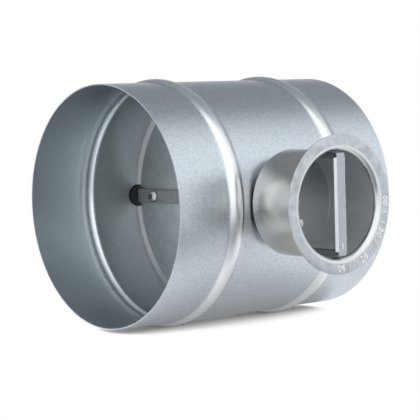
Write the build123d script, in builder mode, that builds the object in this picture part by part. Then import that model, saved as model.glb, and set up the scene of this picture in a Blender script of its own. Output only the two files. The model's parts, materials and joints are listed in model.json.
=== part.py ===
from build123d import *
import os

os.makedirs("parts", exist_ok=True)

# Round control damper for a 160 mm duct, in millimetres.
# +X runs along the duct from the inlet mouth to the outlet mouth, +Z is up,
# and the handle cup stands out towards -Y. The origin is the middle of the inlet mouth.

# Casing
duct_radius = 79.7
sheet = 0.7
length = 184.0
bead_offset = 46.0
bead_height = 2.4
bead_width = 12.0
bead_root = 2.5
seat_inset = 9.0
seat_rise = 0.6
seat_draft = 26.0

# Handle cup
gasket_thickness = 0.7
gasket_inset = 0.2
cup_radius = 34.4
cup_wall = 0.8
cup_height = 44.4
cup_corner = 3.0
lip_radius = 3.8
flange_radius = 44.2
scale_tick_length = 4.2
scale_tick_width = 0.7
scale_tick_height = 0.25
scale_edge = 1.6
scale_step = 10.0
scale_span = 90.0
rivet_radius = 1.5
rivet_head_radius = 3.0
rivet_head_height = 0.8
rivet_circle = 15.6
rivet_angle = 64.0

# Blade, its two straps and their fasteners
blade_gap = 3.0
blade_thickness = 1.0
strap_width = 10.0
strap_thickness = 1.5
strap_edge = 0.5
screw_offset = 59.0
screw_radius = 2.0
screw_clearance = 0.15
screw_head_radius = 4.4
screw_head_height = 3.0
recess_width = 0.9
recess_length = 4.6
recess_depth = 1.4
washer_radius = 4.5
washer_thickness = 0.8
nut_flats = 7.0
nut_height = 3.2
thread_end = 1.2

# Pivots and bushes
pivot_radius = 7.6
pivot_base = 1.0
pivot_gap = 0.8
strap_end_gap = 0.05
tongue_width = 10.0
tongue_thickness = 2.4
stub_radius = 3.5
running_clearance = 0.05
bush_radius = 5.2
bush_flange_radius = 9.0
far_flange_thickness = 1.5
far_flange_gap = 0.1
bush_stand = 0.3
side_gap = 0.3
clip_radius = 6.5
clip_thickness = 0.8
clip_groove = 0.5
stub_tip = 0.8

# Handle
spring_washer_radius = 5.0
spring_washer_thickness = 0.6
handle_width = 6.8
handle_sheet = 1.0
wing_width = 2.3
wing_slope = 45.0
rail_depth = 3.6
rail_start = 3.4
handle_clearance = 1.0
handle_proud = 1.2
handle_bend = 1.6
handle_notch = 3.0
base_thickness = 1.2
base_end_gap = 1.6
foot_length = 10.0
foot_rivet_inset = 6.0
foot_rivet_head_radius = 2.4
drive_square = 4.6
hub_screw_radius = 1.6
hub_screw_length = 8.0
hub_head_radius = 3.2
hub_head_height = 1.0
pointer_length = 4.6
pointer_width = 1.6
pointer_height = 0.5
pointer_inset = 6.2

# Distances from the duct's axis, worked out from the sizes above
shaft_x = length / 2
wall_inner = duct_radius - sheet
seat_face = duct_radius + seat_rise
seat_inner = seat_face - sheet
cup_base = seat_face + gasket_thickness
cup_floor = cup_base + cup_wall
flange_face = cup_base + cup_height
cup_inner = cup_radius - cup_wall
seat_radius = cup_radius - seat_inset
gasket_radius = seat_radius - gasket_inset
blade_radius = wall_inner - blade_gap
bar_half = cup_inner - handle_clearance
pivot_face = wall_inner - pivot_gap
near_flange = seat_inner - pivot_face - side_gap
pivot_nose = pivot_face - pivot_base
near_bush_end = cup_floor + bush_stand
washer_face = near_bush_end + side_gap
base_face = washer_face + spring_washer_thickness
base_top = base_face + base_thickness
foot_top = base_top + handle_sheet
handle_face = flange_face + handle_proud
far_bush_start = pivot_face + side_gap
far_bush_face = duct_radius + far_flange_gap + far_flange_thickness
clip_face = far_bush_face + side_gap
stub_end = clip_face + clip_thickness + stub_tip

# Planes whose local Z points out from the duct's axis, at the near and the far side
near = Plane(origin=(shaft_x, 0, 0), x_dir=(1, 0, 0), z_dir=(0, -1, 0))
far = Plane(origin=(shaft_x, 0, 0), x_dir=(1, 0, 0), z_dir=(0, 1, 0))
# A plane through the shaft: local X is the radius, local Y the distance from the duct's axis
section = Plane(origin=(shaft_x, 0, 0), x_dir=(1, 0, 0), z_dir=(0, 0, -1))
shaft_axis = Axis((shaft_x, 0, 0), (0, -1, 0))
# A plane square to the duct, looking back at the inlet
upstream = Plane(origin=(shaft_x, 0, 0), x_dir=(0, -1, 0), z_dir=(-1, 0, 0))


def duct_profile(radius):
    """Half section of the beaded tube, filled down to the duct's axis."""
    half = bead_width / 2
    beads = [shaft_x - bead_offset, shaft_x + bead_offset]
    with BuildSketch(Plane.XY) as profile:
        with BuildLine():
            Line((0, 0), (0, radius))
            start = (0, radius)
            for middle in beads:
                foot = (middle - half, radius)
                Line(start, foot)
                start = (middle + half, radius)
                ThreePointArc(foot, (middle, radius + bead_height), start)
            Polyline(start, (length, radius), (length, 0), (0, 0))
        make_face()
        for middle in beads:
            for edge in (-half, half):
                corner = (middle + edge, radius, 0)
                fillet(profile.vertices().sort_by_distance(corner)[0], bead_root)
    return profile.sketch


def rivet_places():
    """The four rivets of the cup, in pairs each side of the handle."""
    spot = Vector(rivet_circle, 0, 0).rotate(Axis.Z, rivet_angle)
    return [Location((spot.X * a, spot.Y * b, 0)) for a in (-1, 1) for b in (-1, 1)]


# Casing: a beaded tube with a flat pressed out of its wall to seat the cup
tube_outside = duct_profile(duct_radius)
tube_inside = duct_profile(wall_inner)
with BuildPart() as casing:
    revolve(tube_outside, axis=Axis.X)
    with BuildSketch(near.offset(seat_face)):
        Circle(seat_radius)
    extrude(amount=-seat_radius, taper=-seat_draft)
    revolve(tube_inside, axis=Axis.X, mode=Mode.SUBTRACT)
    with BuildSketch(near.offset(seat_inner)):
        Circle(seat_radius - sheet)
    extrude(amount=-seat_radius, taper=-seat_draft, mode=Mode.SUBTRACT)
    with BuildSketch(near.offset(seat_inner - sheet)):
        Circle(bush_radius)
        with Locations(*rivet_places()):
            Circle(rivet_radius)
    extrude(amount=3 * sheet, mode=Mode.SUBTRACT)
    with BuildSketch(far.offset(wall_inner - sheet)):
        Circle(bush_radius)
    extrude(amount=3 * sheet, mode=Mode.SUBTRACT)
casing.part.label = "casing"
export_step(casing.part, "parts/casing.step")

# Seat gasket between the casing's flat and the cup
with BuildPart() as seat_gasket:
    with BuildSketch(near.offset(seat_face)):
        Circle(gasket_radius)
        Circle(bush_radius, mode=Mode.SUBTRACT)
        with Locations(*rivet_places()):
            Circle(rivet_radius, mode=Mode.SUBTRACT)
    extrude(amount=gasket_thickness)
seat_gasket.part.label = "seat_gasket"
export_step(seat_gasket.part, "parts/seat_gasket.step")

# Handle cup: a drawn cup whose rim is turned out flat and carries the angle scale
with BuildPart() as handle_cup:
    with BuildSketch(section):
        with BuildLine():
            Polyline(
                (0, cup_base),
                (cup_radius, cup_base),
                (cup_radius, flange_face - cup_wall),
                (flange_radius, flange_face - cup_wall),
                (flange_radius, flange_face),
                (cup_inner, flange_face),
                (cup_inner, cup_floor),
                (0, cup_floor),
                close=True,
            )
        make_face()
        for corner, bend in (
            ((cup_radius, cup_base, 0), cup_corner),
            ((cup_inner, cup_floor, 0), cup_corner - cup_wall),
            ((cup_radius, flange_face - cup_wall, 0), lip_radius - cup_wall),
            ((cup_inner, flange_face, 0), lip_radius),
        ):
            fillet(vertices().sort_by_distance(corner)[0], bend)
    revolve(axis=shaft_axis)
    with BuildSketch(near.offset(cup_base)):
        Circle(bush_radius)
        with Locations(*rivet_places()):
            Circle(rivet_radius)
    extrude(amount=cup_wall, mode=Mode.SUBTRACT)
    with BuildSketch(near.offset(flange_face)):
        ticks = int(scale_span / scale_step) + 1
        with PolarLocations(
            flange_radius - scale_edge - scale_tick_length / 2,
            ticks,
            start_angle=-scale_span,
            angular_range=scale_span,
            endpoint=True,
        ):
            Rectangle(scale_tick_length, scale_tick_width)
    extrude(amount=scale_tick_height)
handle_cup.part.label = "handle_cup"
export_step(handle_cup.part, "parts/handle_cup.step")

# Cup rivets: they clamp the casing, the gasket and the cup's floor
with BuildPart() as cup_rivets:
    with BuildSketch(near.offset(seat_inner - rivet_head_height)):
        with Locations(*rivet_places()):
            Circle(rivet_head_radius)
    extrude(amount=rivet_head_height)
    with BuildSketch(near.offset(seat_inner)):
        with Locations(*rivet_places()):
            Circle(rivet_radius)
    extrude(amount=cup_floor - seat_inner)
    with BuildSketch(near.offset(cup_floor)):
        with Locations(*rivet_places()):
            Circle(rivet_head_radius)
    extrude(amount=rivet_head_height)
    fillet(
        cup_rivets.faces().filter_by(Axis.Y).group_by(Axis.Y)[0].edges(),
        rivet_head_height * 0.7,
    )
cup_rivets.part.label = "cup_rivets"
export_step(cup_rivets.part, "parts/cup_rivets.step")

# Near bush: flanged inside the duct, its barrel passes the casing, gasket and cup floor
with BuildPart() as near_bush:
    with BuildSketch(near.offset(seat_inner - near_flange)):
        Circle(bush_flange_radius)
    extrude(amount=near_flange)
    with BuildSketch(near.offset(seat_inner)):
        Circle(bush_radius)
    extrude(amount=near_bush_end - seat_inner)
    with BuildSketch(near.offset(seat_inner - near_flange)):
        Circle(stub_radius + running_clearance)
    extrude(amount=near_bush_end - seat_inner + near_flange, mode=Mode.SUBTRACT)
near_bush.part.label = "near_bush"
export_step(near_bush.part, "parts/near_bush.step")

# Far bush: flanged outside the duct
with BuildPart() as far_bush:
    with BuildSketch(far.offset(far_bush_start)):
        Circle(bush_radius)
    extrude(amount=far_bush_face - far_bush_start)
    with BuildSketch(far.offset(far_bush_face - far_flange_thickness)):
        Circle(bush_flange_radius)
    extrude(amount=far_flange_thickness)
    with BuildSketch(far.offset(far_bush_start)):
        Circle(stub_radius + running_clearance)
    extrude(amount=far_bush_face - far_bush_start, mode=Mode.SUBTRACT)
far_bush.part.label = "far_bush"
export_step(far_bush.part, "parts/far_bush.step")

# Blade: a flat disc, drilled for the strap screws
with BuildPart() as blade:
    with BuildSketch(upstream.offset(-blade_thickness / 2)):
        Circle(blade_radius)
        with Locations((-screw_offset, 0), (screw_offset, 0)):
            Circle(screw_radius + screw_clearance, mode=Mode.SUBTRACT)
    extrude(amount=blade_thickness)
blade.part.label = "blade"
export_step(blade.part, "parts/blade.step")


def make_strap(start):
    """A strap across the blade, its rounded edges along the duct."""
    with BuildPart() as strap:
        with BuildSketch(upstream.offset(start)):
            Rectangle(2 * (pivot_nose - strap_end_gap), strap_width)
            with Locations((-screw_offset, 0), (screw_offset, 0)):
                Circle(screw_radius + screw_clearance, mode=Mode.SUBTRACT)
        extrude(amount=strap_thickness)
        fillet(strap.edges().filter_by(Axis.Y), strap_edge)
    return strap


# Front strap on the inlet side of the blade
front_strap = make_strap(blade_thickness / 2)
front_strap.part.label = "front_strap"
export_step(front_strap.part, "parts/front_strap.step")

# Back strap on the outlet side of the blade
back_strap = make_strap(-blade_thickness / 2 - strap_thickness)
back_strap.part.label = "back_strap"
export_step(back_strap.part, "parts/back_strap.step")

strap_face = blade_thickness / 2 + strap_thickness
tongue_face = strap_face + tongue_thickness
screw_end = tongue_face + washer_thickness + nut_height + thread_end

# Strap screws: pan heads with a cross recess, on the inlet side
with BuildPart() as strap_screws:
    for place in (-screw_offset, screw_offset):
        with BuildSketch(upstream.offset(strap_face)):
            with Locations((place, 0)):
                Circle(screw_head_radius)
        extrude(amount=screw_head_height)
    fillet(
        strap_screws.faces().sort_by(Axis.X)[0:2].edges(),
        screw_head_height * 0.6,
    )
    for place in (-screw_offset, screw_offset):
        with BuildSketch(upstream.offset(strap_face + screw_head_height - recess_depth)):
            with Locations((place, 0)):
                Rectangle(recess_length, recess_width, rotation=45)
                Rectangle(recess_length, recess_width, rotation=-45)
        extrude(amount=recess_depth, mode=Mode.SUBTRACT)
        with BuildSketch(upstream.offset(strap_face)):
            with Locations((place, 0)):
                Circle(screw_radius)
        extrude(amount=-(strap_face + screw_end))
strap_screws.part.label = "strap_screws"
export_step(strap_screws.part, "parts/strap_screws.step")

# Strap washers under the nuts
with BuildPart() as strap_washers:
    with BuildSketch(upstream.offset(-tongue_face - washer_thickness)):
        with Locations((-screw_offset, 0), (screw_offset, 0)):
            Circle(washer_radius)
            Circle(screw_radius + screw_clearance, mode=Mode.SUBTRACT)
    extrude(amount=washer_thickness)
strap_washers.part.label = "strap_washers"
export_step(strap_washers.part, "parts/strap_washers.step")

# Strap nuts
with BuildPart() as strap_nuts:
    with BuildSketch(upstream.offset(-tongue_face - washer_thickness - nut_height)):
        with Locations((-screw_offset, 0), (screw_offset, 0)):
            RegularPolygon(nut_flats / 2, 6, major_radius=False)
            Circle(screw_radius + running_clearance, mode=Mode.SUBTRACT)
    extrude(amount=nut_height)
strap_nuts.part.label = "strap_nuts"
export_step(strap_nuts.part, "parts/strap_nuts.step")


def pivot_head(plane):
    """The disc that the straps end at, and the tongue that their screw clamps behind them."""
    tongue = Plane(
        origin=(shaft_x + strap_face, 0, 0),
        x_dir=plane.z_dir,
        z_dir=(1, 0, 0),
    )
    with BuildPart() as head:
        with BuildSketch(plane.offset(pivot_nose)):
            Circle(pivot_radius)
        extrude(amount=pivot_base)
        with BuildSketch(tongue):
            with Locations(((screw_offset + pivot_face) / 2, 0)):
                Rectangle(pivot_face - screw_offset, tongue_width)
            with Locations((screw_offset, 0)):
                Circle(tongue_width / 2)
                Circle(screw_radius + screw_clearance, mode=Mode.SUBTRACT)
        extrude(amount=tongue_thickness)
    return head.part


# Near pivot: its stub runs in the near bush and ends in a square that turns with the handle
near_head = pivot_head(near)
far_head = pivot_head(far)
with BuildPart() as near_pivot:
    add(near_head)
    with BuildSketch(near.offset(pivot_face)):
        Circle(stub_radius)
    extrude(amount=base_face - pivot_face)
    with BuildSketch(near.offset(base_face)):
        Rectangle(drive_square, drive_square)
    extrude(amount=base_thickness)
    with BuildSketch(near.offset(base_top)):
        Circle(hub_screw_radius + running_clearance)
    extrude(amount=-hub_screw_length, mode=Mode.SUBTRACT)
near_pivot.part.label = "near_pivot"
export_step(near_pivot.part, "parts/near_pivot.step")

# Far pivot: its stub runs in the far bush and is grooved for the clip
with BuildPart() as far_pivot:
    add(far_head)
    with BuildSketch(far.offset(pivot_face)):
        Circle(stub_radius)
    extrude(amount=stub_end - pivot_face)
    with BuildSketch(far.offset(clip_face)):
        Circle(stub_radius)
        Circle(stub_radius - clip_groove, mode=Mode.SUBTRACT)
    extrude(amount=clip_thickness, mode=Mode.SUBTRACT)
far_pivot.part.label = "far_pivot"
export_step(far_pivot.part, "parts/far_pivot.step")

# Pivot clip: an open ring pushed into the far pivot's groove
with BuildPart() as pivot_clip:
    with BuildSketch(far.offset(clip_face)):
        Circle(clip_radius)
        Circle(stub_radius - clip_groove, mode=Mode.SUBTRACT)
        with Locations((0, -clip_radius)):
            Rectangle(2 * (stub_radius - clip_groove) * 0.8, 2 * clip_radius, mode=Mode.SUBTRACT)
    extrude(amount=clip_thickness)
pivot_clip.part.label = "pivot_clip"
export_step(pivot_clip.part, "parts/pivot_clip.step")

# Friction washer between the near bush and the handle
with BuildPart() as friction_washer:
    with BuildSketch(near.offset(washer_face)):
        Circle(spring_washer_radius)
        Circle(stub_radius + running_clearance, mode=Mode.SUBTRACT)
    extrude(amount=spring_washer_thickness)
friction_washer.part.label = "friction_washer"
export_step(friction_washer.part, "parts/friction_washer.step")

base_half = bar_half - base_end_gap
foot_rivet_place = bar_half - foot_rivet_inset

# Handle base: the strip on the pivot's square that carries the handle's feet
with BuildPart() as handle_base:
    with BuildSketch(near.offset(base_face)):
        Rectangle(handle_width, 2 * base_half)
        Rectangle(drive_square, drive_square, mode=Mode.SUBTRACT)
        with Locations((0, -foot_rivet_place), (0, foot_rivet_place)):
            Circle(rivet_radius, mode=Mode.SUBTRACT)
    extrude(amount=base_thickness)
handle_base.part.label = "handle_base"
export_step(handle_base.part, "parts/handle_base.step")

# Handle bridge: a strip bent into a U with two feet. Its bar has a sloping wing each side,
# its legs have a rail each side, and a pointer is pressed out near its lower end
foot_inner = bar_half - foot_length
side = Plane(origin=(shaft_x - handle_width / 2, 0, 0), x_dir=(0, 0, 1), z_dir=(1, 0, 0))
with BuildPart() as handle_bridge:
    with BuildSketch(side):
        with BuildLine():
            Polyline(
                (-foot_inner, base_top),
                (-bar_half, base_top),
                (-bar_half, handle_face),
                (bar_half, handle_face),
                (bar_half, base_top),
                (foot_inner, base_top),
                (foot_inner, foot_top),
                (bar_half - handle_sheet, foot_top),
                (bar_half - handle_sheet, handle_face - handle_sheet),
                (-bar_half + handle_sheet, handle_face - handle_sheet),
                (-bar_half + handle_sheet, foot_top),
                (-foot_inner, foot_top),
                close=True,
            )
        make_face()
        for end in (-bar_half, bar_half):
            fillet(vertices().sort_by_distance((end, handle_face, 0))[0], handle_bend)
            fillet(vertices().sort_by_distance((end, base_top, 0))[0], handle_bend)
    extrude(amount=handle_width)
    with BuildSketch(section.offset(handle_notch - bar_half)):
        for way, edge in ((-1, Align.MAX), (1, Align.MIN)):
            with Locations((way * handle_width / 2, handle_face)):
                Rectangle(
                    wing_width,
                    handle_sheet,
                    rotation=-way * wing_slope,
                    align=(edge, Align.MAX),
                )
    extrude(amount=2 * (bar_half - handle_notch))
    leg_low = foot_top + handle_notch
    leg_high = handle_face - rail_start
    for place in (0, handle_width - handle_sheet):
        with BuildSketch(side.offset(place)):
            with Locations(
                (-bar_half + rail_depth / 2, (leg_low + leg_high) / 2),
                (bar_half - rail_depth / 2, (leg_low + leg_high) / 2),
            ):
                Rectangle(rail_depth, leg_high - leg_low)
        extrude(amount=handle_sheet)
    with BuildSketch(near.offset(handle_face)):
        with Locations((0, -bar_half + pointer_inset)):
            SlotOverall(pointer_length, pointer_width, rotation=90)
    extrude(amount=pointer_height)
    with BuildSketch(near.offset(base_top)):
        with Locations((0, -foot_rivet_place), (0, foot_rivet_place)):
            Circle(rivet_radius)
    extrude(amount=handle_sheet, mode=Mode.SUBTRACT)
handle_bridge.part.label = "handle_bridge"
export_step(handle_bridge.part, "parts/handle_bridge.step")

# Handle rivets: they join the feet to the base
with BuildPart() as handle_rivets:
    with BuildSketch(near.offset(base_face)):
        with Locations((0, -foot_rivet_place), (0, foot_rivet_place)):
            Circle(rivet_radius)
    extrude(amount=foot_top - base_face)
    with BuildSketch(near.offset(foot_top)):
        with Locations((0, -foot_rivet_place), (0, foot_rivet_place)):
            Circle(foot_rivet_head_radius)
    extrude(amount=rivet_head_height)
    fillet(
        handle_rivets.faces().filter_by(Axis.Y).group_by(Axis.Y)[0].edges(),
        rivet_head_height * 0.7,
    )
handle_rivets.part.label = "handle_rivets"
export_step(handle_rivets.part, "parts/handle_rivets.step")

# Hub screw: holds the handle base on the pivot's square
with BuildPart() as hub_screw:
    with BuildSketch(near.offset(base_top)):
        Circle(hub_head_radius)
    extrude(amount=hub_head_height)
    with BuildSketch(near.offset(base_top + hub_head_height)):
        Rectangle(recess_width * 0.8, hub_head_radius * 1.2)
        Rectangle(hub_head_radius * 1.2, recess_width * 0.8)
    extrude(amount=-hub_head_height * 0.6, mode=Mode.SUBTRACT)
    with BuildSketch(near.offset(base_top)):
        Circle(hub_screw_radius)
    extrude(amount=-(hub_screw_length - thread_end))
hub_screw.part.label = "hub_screw"
export_step(hub_screw.part, "parts/hub_screw.step")
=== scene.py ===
"""Visual model of a round control damper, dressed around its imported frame.

Lengths are metres in the row frame: +X along the duct from the inlet mouth, +Z up, and the
handle cup standing out towards -Y. The shaft runs along Y through the middle of the duct.
"""

import json
import logging
import math
from dataclasses import dataclass, field
from enum import Enum, IntEnum

import bmesh
import bpy
from mathutils import Matrix, Vector

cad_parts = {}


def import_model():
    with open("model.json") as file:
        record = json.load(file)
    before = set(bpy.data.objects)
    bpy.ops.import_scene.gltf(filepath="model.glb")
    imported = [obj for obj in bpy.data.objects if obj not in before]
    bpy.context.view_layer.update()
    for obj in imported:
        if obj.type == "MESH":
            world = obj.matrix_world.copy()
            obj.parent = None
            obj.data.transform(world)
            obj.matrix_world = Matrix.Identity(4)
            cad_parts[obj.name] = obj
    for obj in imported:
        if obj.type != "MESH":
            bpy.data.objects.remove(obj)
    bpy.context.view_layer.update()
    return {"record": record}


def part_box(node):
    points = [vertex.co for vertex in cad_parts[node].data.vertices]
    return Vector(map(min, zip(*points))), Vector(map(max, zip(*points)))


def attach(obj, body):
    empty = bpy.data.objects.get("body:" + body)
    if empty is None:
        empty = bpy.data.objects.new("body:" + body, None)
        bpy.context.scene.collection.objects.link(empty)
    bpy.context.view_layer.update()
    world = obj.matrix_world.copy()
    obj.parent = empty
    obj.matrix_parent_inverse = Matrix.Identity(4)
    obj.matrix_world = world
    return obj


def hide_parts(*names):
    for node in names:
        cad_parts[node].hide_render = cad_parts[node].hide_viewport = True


logging.basicConfig(level=logging.INFO, format="%(message)s")
log = logging.getLogger("damper")

MM = 0.001
FULL_TURN = 2 * math.pi
SHARP_ANGLE = math.radians(32)
MERGE_DISTANCE = 1e-7

# Directions: along the duct, out through the cup, and up
ALONG = Vector((1, 0, 0))
CUPWARDS = Vector((0, -1, 0))
UP = Vector((0, 0, 1))

Point = tuple[float, float]
Place = tuple[float, float, float]
Colour = tuple[float, float, float]

# Most of a noise pattern lies between these values
WIDE: Point = (0.3, 0.7)
NARROW: Point = (0.35, 0.65)

# The place of a second finish in a piece that has two
SECOND_FINISH = 1


class Slot(Enum):
    """The record's material slots."""

    SHEET = "galvanised_sheet"
    CUP = "cup_steel"
    FASTENER = "zinc_fastener"
    NYLON = "black_nylon"
    RUBBER = "black_rubber"


class Body(Enum):
    """The bodies that pieces ride on."""

    CASING = "casing"
    DAMPER = "damper"


class Side(Enum):
    """The two ends of the shaft: the sign is that of Y."""

    NEAR = -1
    FAR = 1

    @property
    def outwards(self) -> Vector:
        """The direction out of the duct at this end."""
        return Vector((0, self.value, 0))


class TubeFinish(IntEnum):
    """The tube's finishes, in the order of its materials."""

    OUTSIDE = 0
    LIT_BORE = 1
    SHADED_BORE = 2
    BEAD_HIGHLIGHT = 3


class CupFinish(IntEnum):
    """The cup's finishes, in the order of its materials."""

    OUTSIDE = 0
    RIM = 1
    PAINTED_LIGHT = 2
    LIT_INSIDE = 3
    SHADED_FLOOR = 4


class StrapFinish(IntEnum):
    """A strap's finishes, in the order of its materials."""

    FACE = 0
    SHADED_UPPER_EDGE = 1
    HIGHLIT_LOWER_EDGE = 2


class Graph:
    """A material's nodes, with short calls for the few kinds used here."""

    def __init__(self, name: str) -> None:
        """Start a material.

        Args:
            name: The material's name.
        """
        self.material = bpy.data.materials.new(name)
        self.material.use_nodes = True
        self.tree = self.material.node_tree
        self.shader = self.tree.nodes["Principled BSDF"]
        self.place = self.tree.nodes.new("ShaderNodeTexCoord").outputs["Object"]

    def mapped(self, scale: Place) -> bpy.types.NodeSocket:
        """Object coordinates stretched along the axes.

        Args:
            scale: The factor on each axis.

        Returns:
            The vector socket.
        """
        node = self.tree.nodes.new("ShaderNodeMapping")
        node.inputs["Scale"].default_value = scale
        self.tree.links.new(self.place, node.inputs["Vector"])
        return node.outputs["Vector"]

    def noise(
        self,
        scale: float,
        detail: float = 2.0,
        place: bpy.types.NodeSocket | None = None,
    ) -> bpy.types.NodeSocket:
        """A noise pattern in object space.

        Args:
            scale: Features per metre.
            detail: Octaves of finer noise.
            place: The coordinates to read, plain object coordinates if None.

        Returns:
            The pattern's value socket.
        """
        node = self.tree.nodes.new("ShaderNodeTexNoise")
        node.inputs["Scale"].default_value = scale
        node.inputs["Detail"].default_value = detail
        self.tree.links.new(place or self.place, node.inputs["Vector"])
        return node.outputs["Fac"]

    def cells(self, scale: float) -> bpy.types.NodeSocket:
        """Crystal-like cells, each of one grey.

        Args:
            scale: Cells per metre.

        Returns:
            The cells' colour socket.
        """
        node = self.tree.nodes.new("ShaderNodeTexVoronoi")
        node.inputs["Scale"].default_value = scale
        self.tree.links.new(self.place, node.inputs["Vector"])
        grey = self.tree.nodes.new("ShaderNodeSeparateColor")
        self.tree.links.new(node.outputs["Color"], grey.inputs["Color"])
        return grey.outputs["Red"]

    def spread(
        self, value: bpy.types.NodeSocket, span: Point, out: Point
    ) -> bpy.types.NodeSocket:
        """Map a value from one span to another.

        Args:
            value: The socket to map.
            span: The lowest and highest value read.
            out: What they become.

        Returns:
            The mapped value.
        """
        node = self.tree.nodes.new("ShaderNodeMapRange")
        node.inputs["From Min"].default_value = span[0]
        node.inputs["From Max"].default_value = span[1]
        node.inputs["To Min"].default_value = out[0]
        node.inputs["To Max"].default_value = out[1]
        self.tree.links.new(value, node.inputs["Value"])
        return node.outputs["Result"]

    def blend(
        self, amount: bpy.types.NodeSocket, first: Colour, second: Colour
    ) -> bpy.types.NodeSocket:
        """Blend two colours.

        Args:
            amount: 0 for the first colour, 1 for the second.
            first: The first colour.
            second: The second colour.

        Returns:
            The colour socket.
        """
        node = self.tree.nodes.new("ShaderNodeMix")
        node.data_type = "RGBA"
        colours = [s for s in node.inputs if s.type == "RGBA"]
        colours[0].default_value = (*first, 1)
        colours[1].default_value = (*second, 1)
        self.tree.links.new(amount, node.inputs[0])
        return [s for s in node.outputs if s.type == "RGBA"][0]

    def add(
        self, first: bpy.types.NodeSocket, second: bpy.types.NodeSocket, share: float
    ) -> bpy.types.NodeSocket:
        """Mix two values.

        Args:
            first: One value.
            second: The other value.
            share: How much of the second is taken.

        Returns:
            The mixed value.
        """
        node = self.tree.nodes.new("ShaderNodeMix")
        node.data_type = "FLOAT"
        node.inputs[0].default_value = share
        values = [s for s in node.inputs if s.type == "VALUE"]
        self.tree.links.new(first, values[1])
        self.tree.links.new(second, values[2])
        return [s for s in node.outputs if s.type == "VALUE"][0]

    def bump(
        self,
        height: bpy.types.NodeSocket,
        depth: float,
        strength: float = 1.0,
        under: bpy.types.NodeSocket | None = None,
    ) -> bpy.types.NodeSocket:
        """Turn a height pattern into a normal.

        Args:
            height: The pattern.
            depth: Its depth in metres.
            strength: How strongly it shows.
            under: A normal that this one lies on.

        Returns:
            The normal socket.
        """
        node = self.tree.nodes.new("ShaderNodeBump")
        node.inputs["Strength"].default_value = strength
        node.inputs["Distance"].default_value = depth
        self.tree.links.new(height, node.inputs["Height"])
        if under is not None:
            self.tree.links.new(under, node.inputs["Normal"])
        return node.outputs["Normal"]

    def link(self, socket: bpy.types.NodeSocket, name: str) -> None:
        """Feed one of the shader's inputs.

        Args:
            socket: What to feed it with.
            name: The shader's input.
        """
        self.tree.links.new(socket, self.shader.inputs[name])

    def colour(
        self, pattern: bpy.types.NodeSocket, span: Point, dark: Colour, light: Colour
    ) -> None:
        """Colour the surface by a pattern.

        Args:
            pattern: The pattern's value.
            span: The values at which the two colours are reached.
            dark: The colour at the lower value.
            light: The colour at the higher one.
        """
        amount = self.spread(pattern, span, (0.0, 1.0))
        self.link(self.blend(amount, dark, light), "Base Color")

    def polish(
        self, pattern: bpy.types.NodeSocket, span: Point, smooth: float, rough: float
    ) -> None:
        """Vary the roughness by a pattern.

        Args:
            pattern: The pattern's value.
            span: The values at which the two roughnesses are reached.
            smooth: The roughness at the lower value.
            rough: The roughness at the higher one.
        """
        self.link(self.spread(pattern, span, (smooth, rough)), "Roughness")

    def set(self, **values: float) -> None:
        """Set plain numbers on the shader.

        Args:
            **values: Input names with underscores for spaces.
        """
        for name, value in values.items():
            self.shader.inputs[name.replace("_", " ")].default_value = value


@dataclass(frozen=True)
class Galvanised:
    """Hot-dip galvanised sheet: a fine mottle over faint crystals."""

    name: str = "galvanised_sheet"
    light: Colour = (0.705, 0.765, 0.815)
    dark: Colour = (0.575, 0.635, 0.685)
    smooth: float = 0.31
    rough: float = 0.39
    speckle: float = 800.0
    speckle_detail: float = 3.0
    stretch: Place = (0.6, 1.0, 1.0)
    mottle_span: Point = (0.32, 0.66)
    crystal: float = 900.0
    crystal_share: float = 0.22
    cloud_coarseness: float = 3.0
    speckle_share: float = 0.4
    wave: float = 16.0
    wave_depth: float = 0.2 * MM
    wave_strength: float = 0.25
    grain_depth: float = 0.009 * MM
    grain_strength: float = 0.5

    def material(self) -> bpy.types.Material:
        """Make the finish.

        Returns:
            A new material.
        """
        graph = Graph(self.name)
        speckle = graph.noise(self.speckle, self.speckle_detail, graph.mapped(self.stretch))
        mottle = graph.add(speckle, graph.cells(self.crystal), self.crystal_share)
        graph.colour(mottle, self.mottle_span, self.dark, self.light)
        coarse = graph.noise(self.speckle / self.cloud_coarseness)
        cloud = graph.add(coarse, speckle, self.speckle_share)
        graph.polish(cloud, NARROW, self.smooth, self.rough)
        wave = graph.noise(self.wave, detail=1.0)
        waves = graph.bump(wave, self.wave_depth, self.wave_strength)
        graph.link(graph.bump(speckle, self.grain_depth, self.grain_strength, waves), "Normal")
        graph.set(Metallic=1.0)
        return graph.material


@dataclass(frozen=True)
class DrawnSteel:
    """Drawn sheet: smoother, with faint lines along the draw."""

    name: str = "cup_steel"
    light: Colour = (0.66, 0.65, 0.63)
    dark: Colour = (0.61, 0.60, 0.58)
    smooth: float = 0.20
    rough: float = 0.25
    lines: float = 420.0
    stretch: Place = (1.0, 0.35, 1.0)
    cloud_coarseness: float = 4.0
    cloud_share: float = 0.5
    line_depth: float = 0.0025 * MM
    line_strength: float = 0.5

    def material(self) -> bpy.types.Material:
        """Make the finish.

        Returns:
            A new material.
        """
        graph = Graph(self.name)
        lines = graph.noise(self.lines, place=graph.mapped(self.stretch))
        cloud = graph.noise(self.lines / self.cloud_coarseness)
        mottle = graph.add(lines, cloud, self.cloud_share)
        graph.colour(mottle, NARROW, self.dark, self.light)
        graph.polish(lines, NARROW, self.smooth, self.rough)
        graph.link(graph.bump(lines, self.line_depth, self.line_strength), "Normal")
        graph.set(Metallic=1.0)
        return graph.material


@dataclass(frozen=True)
class Zinc:
    """Bright zinc plating on small fasteners."""

    name: str = "zinc_fastener"
    light: Colour = (0.62, 0.62, 0.59)
    dark: Colour = (0.52, 0.52, 0.49)
    smooth: float = 0.12
    rough: float = 0.2
    grain: float = 900.0

    def material(self) -> bpy.types.Material:
        """Make the finish.

        Returns:
            A new material.
        """
        graph = Graph(self.name)
        grain = graph.noise(self.grain)
        graph.colour(grain, WIDE, self.dark, self.light)
        graph.polish(grain, WIDE, self.smooth, self.rough)
        graph.set(Metallic=1.0)
        return graph.material


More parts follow.
